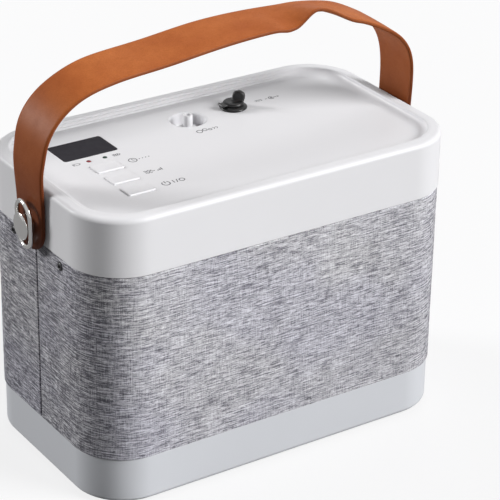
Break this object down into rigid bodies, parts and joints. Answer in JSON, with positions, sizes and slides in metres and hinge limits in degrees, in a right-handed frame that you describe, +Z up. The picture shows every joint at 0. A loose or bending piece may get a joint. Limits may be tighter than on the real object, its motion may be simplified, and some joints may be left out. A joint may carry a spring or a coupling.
{
  "type": "oxygen concentrator",
  "caption": "Portable box-shaped oxygen concentrator: white cap with sunken control panel, cloth-covered shells, silver base, leather carry strap on chrome studs.",
  "frame": {"origin": "centre of the plane that the rubber feet rest on", "axes": "+X along the long side, with the control end at -X; +Y to the back; +Z up"},
  "size_m": [0.2816, 0.151, 0.263],
  "materials": {
    "white_gloss": "satin-gloss moulded",
    "silver_base": "fine satin",
    "inner_grey": "moulded matt",
    "black_plastic": "fine matt",
    "smoked_window": "polished",
    "green_lens": "polished, unlit",
    "red_lens": "polished, lit",
    "grey_cloth": "melange weave",
    "tan_leather": "fine grain, waxed",
    "chrome": "polished",
    "zinc_steel": "zinc plated",
    "black_steel": "black oxide",
    "black_rubber": "moulded",
    "board_green": "solder mask",
    "battery_wrap": "shrink sleeve over steel can",
    "cast_aluminium": "as cast",
    "motor_steel": "enamelled",
    "rotor_steel": "turned",
    "bed_shell": "anodised look",
    "coil_copper": "drawn tube",
    "brass_block": "machined",
    "filter_white": "moulded",
    "silicone": "translucent hose",
    "foam": "open cell"
  },
  "bodies": {
    "body": {"top_cover": "white_gloss", "display_window": "smoked_window", "power_lens": "green_lens", "oxygen_lens": "red_lens", "outlet_cup": "white_gloss", "outlet_nozzle": "white_gloss", "dc_jack": "black_plastic", "dc_jack_nut": "zinc_steel", "dc_cap_collar": "black_rubber", "front_shell": "inner_grey", "rear_shell": "inner_grey", "front_fabric": "grey_cloth", "rear_fabric": "grey_cloth", "base_tray": "silver_base", "rubber_feet": "black_rubber", "base_screws": "zinc_steel", "case_screws": "black_steel", "strap_studs": "chrome", "stud_washers": "zinc_steel", "stud_nuts": "zinc_steel", "display_board": "board_green", "switch_housings": "black_plastic", "display_module": "black_plastic", "machine_screws": "zinc_steel", "chassis_plate": "black_plastic", "battery_tray": "inner_grey", "battery_cells": "battery_wrap", "isolators": "black_rubber", "compressor_case": "cast_aluminium", "cylinder_heads": "cast_aluminium", "motor_can": "motor_steel", "sieve_beds": "bed_shell", "bed_caps": "black_plastic", "product_tank": "bed_shell", "valve_block": "cast_aluminium", "solenoid_coils": "black_plastic", "fan_frame": "black_plastic", "cooling_coil": "coil_copper", "main_board": "board_green", "intake_filter": "filter_white", "exhaust_muffler": "black_plastic", "flow_regulator": "brass_block", "bacteria_filter": "filter_white", "hoses": "silicone", "acoustic_foam": "foam"},
    "strap": {"carry_strap": "tan_leather"},
    "left_ring_body": {"left_ring": "chrome"},
    "right_ring_body": {"right_ring": "chrome"},
    "timing_key": {"timing_button": "white_gloss", "timing_plunger": "black_plastic"},
    "flow_key": {"flow_button": "white_gloss", "flow_plunger": "black_plastic"},
    "power_key": {"power_button": "white_gloss", "power_plunger": "black_plastic"},
    "jack_lid": {"dc_cap_lid": "black_rubber"},
    "fan": {"fan_rotor": "black_plastic"},
    "crank": {"crank_rotor": "rotor_steel"},
    "piston": {"piston_yoke": "cast_aluminium"},
    "valve_a": {"valve_plunger_a": "rotor_steel"},
    "valve_b": {"valve_plunger_b": "rotor_steel"}
  },
  "joints": [
    {"name": "strap_swing", "type": "hinge", "parent": "body", "child": "strap", "pos_m": [0, 0, 0.166], "axis": [1, 0, 0], "range_deg": [-100, 100]},
    {"name": "left_ring_turn", "type": "hinge", "parent": "body", "child": "left_ring_body", "pos_m": [-0.1365, 0, 0.166], "axis": [1, 0, 0], "continuous": true},
    {"name": "right_ring_turn", "type": "hinge", "parent": "body", "child": "right_ring_body", "pos_m": [0.1365, 0, 0.166], "axis": [1, 0, 0], "continuous": true},
    {"name": "timing_press", "type": "slide", "parent": "body", "child": "timing_key", "axis": [0, 0, -1], "range_m": [0, 0.0007]},
    {"name": "flow_press", "type": "slide", "parent": "body", "child": "flow_key", "axis": [0, 0, -1], "range_m": [0, 0.0007]},
    {"name": "power_press", "type": "slide", "parent": "body", "child": "power_key", "axis": [0, 0, -1], "range_m": [0, 0.0007]},
    {"name": "jack_lid_open", "type": "hinge", "parent": "body", "child": "jack_lid", "pos_m": [0.0264, 0.041, 0.1915], "axis": [0, -1, 0], "range_deg": [0, 110]},
    {"name": "fan_spin", "type": "hinge", "parent": "body", "child": "fan", "pos_m": [-0.048, 0, 0.12], "axis": [0, 0, 1], "continuous": true},
    {"name": "crank_spin", "type": "hinge", "parent": "body", "child": "crank", "pos_m": [-0.048, 0, 0.07], "axis": [0, 1, 0], "continuous": true},
    {"name": "piston_slide", "type": "slide", "parent": "body", "child": "piston", "axis": [1, 0, 0], "range_m": [-0.003, 0.003]},
    {"name": "valve_a_shift", "type": "slide", "parent": "body", "child": "valve_a", "axis": [0, 1, 0], "range_m": [0, 0.001]},
    {"name": "valve_b_shift", "type": "slide", "parent": "body", "child": "valve_b", "axis": [0, 1, 0], "range_m": [0, 0.001]}
  ]
}
